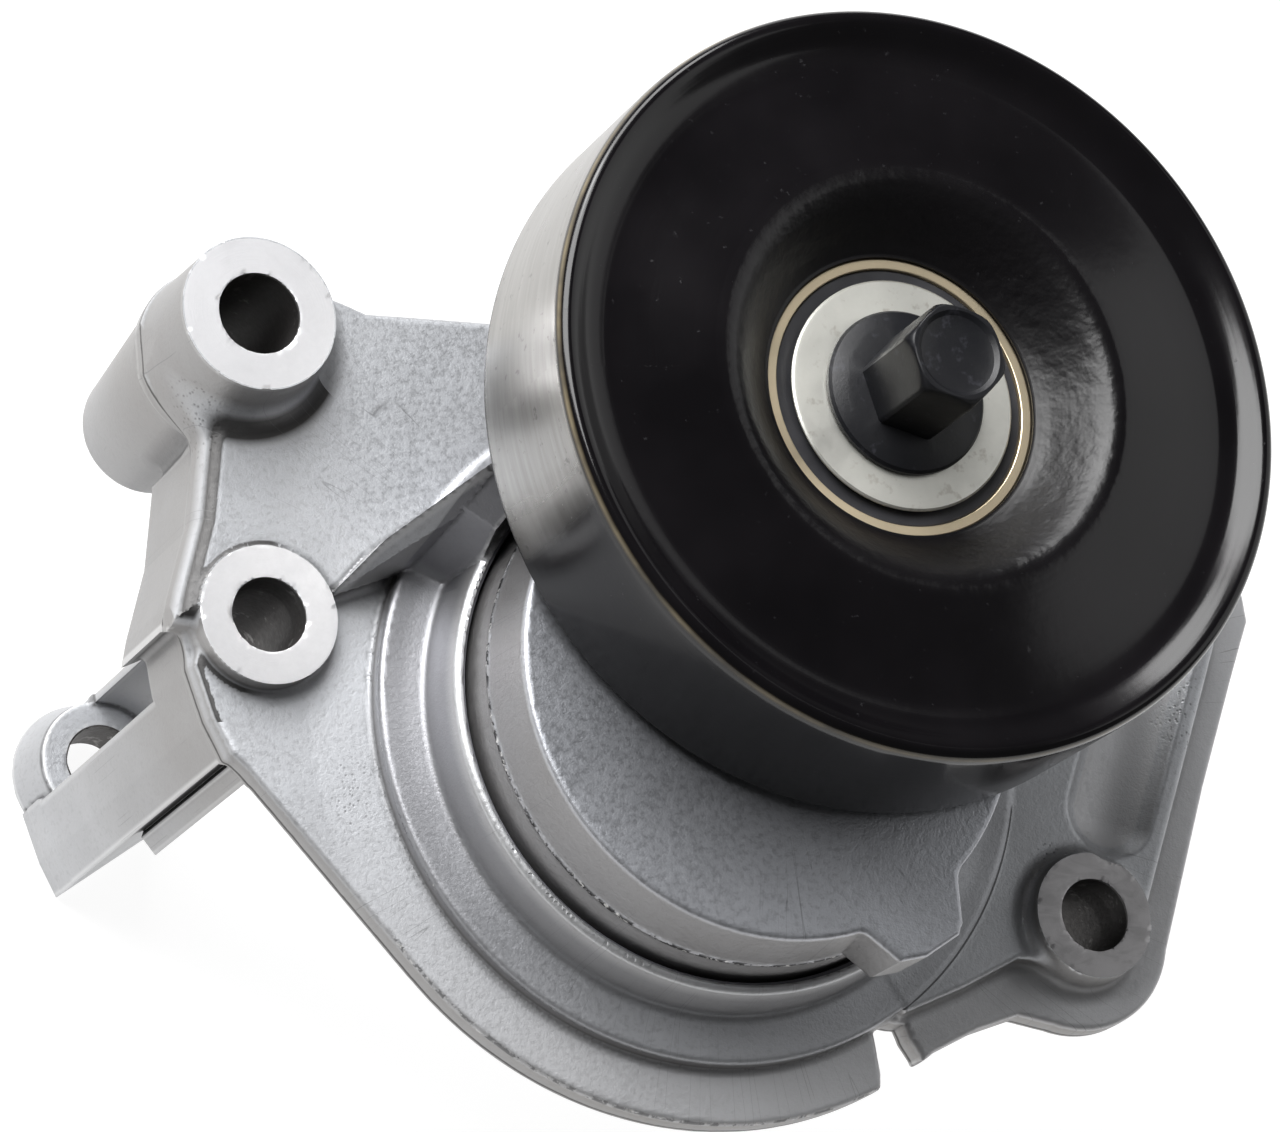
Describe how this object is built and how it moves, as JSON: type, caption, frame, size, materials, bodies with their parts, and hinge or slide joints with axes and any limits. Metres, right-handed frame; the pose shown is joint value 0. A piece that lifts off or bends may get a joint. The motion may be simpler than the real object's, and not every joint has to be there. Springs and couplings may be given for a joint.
{
  "type": "belt tensioner",
  "caption": "Spring-loaded belt tensioner: a die-cast bracket with bolt bosses carries a swinging arm with a flat black idler pulley on a sealed ball bearing.",
  "frame": {"origin": "axis of the long leg's bolt hole, in the plane of the leg's rear mounting pad", "axes": "+Z forward along the bolt, pivot and pulley axes, away from the engine; +X towards the two right-hand bosses; +Y up towards the pulley"},
  "size_m": [0.1678, 0.1422, 0.1422],
  "materials": {
    "cast_bracket": "as cast, machined pads",
    "cast_arm": "as cast, fine pitted",
    "black_coat": "gloss black electrocoat",
    "bolt_black": "satin black",
    "race_steel": "ground, oiled",
    "ball_steel": "polished",
    "cage_steel": "pressed",
    "seal_rubber": "matte",
    "zinc": "zinc plated",
    "shaft_steel": "ground",
    "bush_bronze": "satin",
    "washer_polymer": "matte",
    "nylon": "matte",
    "damper_polymer": "matte",
    "spring_steel": "dark phosphate",
    "band_steel": "spring strip"
  },
  "bodies": {
    "bracket": {"base_bracket": "cast_bracket", "pivot_shaft": "shaft_steel", "thrust_washer_front": "washer_polymer", "thrust_washer_rear": "washer_polymer", "spring_seat": "damper_polymer", "dust_seal": "seal_rubber"},
    "arm": {"tensioner_arm": "cast_arm", "pivot_bush": "bush_bronze", "pivot_cap": "washer_polymer", "torsion_spring": "spring_steel", "spring_sleeve": "nylon", "damper_shoe": "damper_polymer", "damper_band": "band_steel", "bearing_inner_ring": "race_steel", "bearing_sleeve": "shaft_steel", "dust_shield_front": "zinc", "dust_shield_rear": "zinc", "pulley_bolt": "bolt_black"},
    "pulley": {"pulley_wheel": "black_coat", "bearing_outer_ring": "race_steel", "bearing_seal_front": "seal_rubber", "bearing_seal_rear": "seal_rubber"},
    "balls": {"bearing_balls": "ball_steel", "bearing_cage": "cage_steel"}
  },
  "joints": [
    {"name": "arm_swing", "type": "hinge", "parent": "bracket", "child": "arm", "pos_m": [0.0627, -0.0141, 0.08], "axis": [0, 0, -1], "range_deg": [0, 38], "stiffness_Nm_per_rad": 28, "springref_deg": -40.11, "deforming": ["torsion_spring"]},
    {"name": "pulley_spin", "type": "hinge", "parent": "arm", "child": "pulley", "pos_m": [0.07601, 0.01935, 0.1186], "axis": [0, 0, 1], "continuous": true},
    {"name": "ball_cage_spin", "type": "hinge", "parent": "arm", "child": "balls", "pos_m": [0.07601, 0.01935, 0.1186], "axis": [0, 0, 1], "continuous": true}
  ],
  "couplings": [
    {"joint": "ball_cage_spin", "follows": "pulley_spin", "ratio": 0.6175}
  ]
}
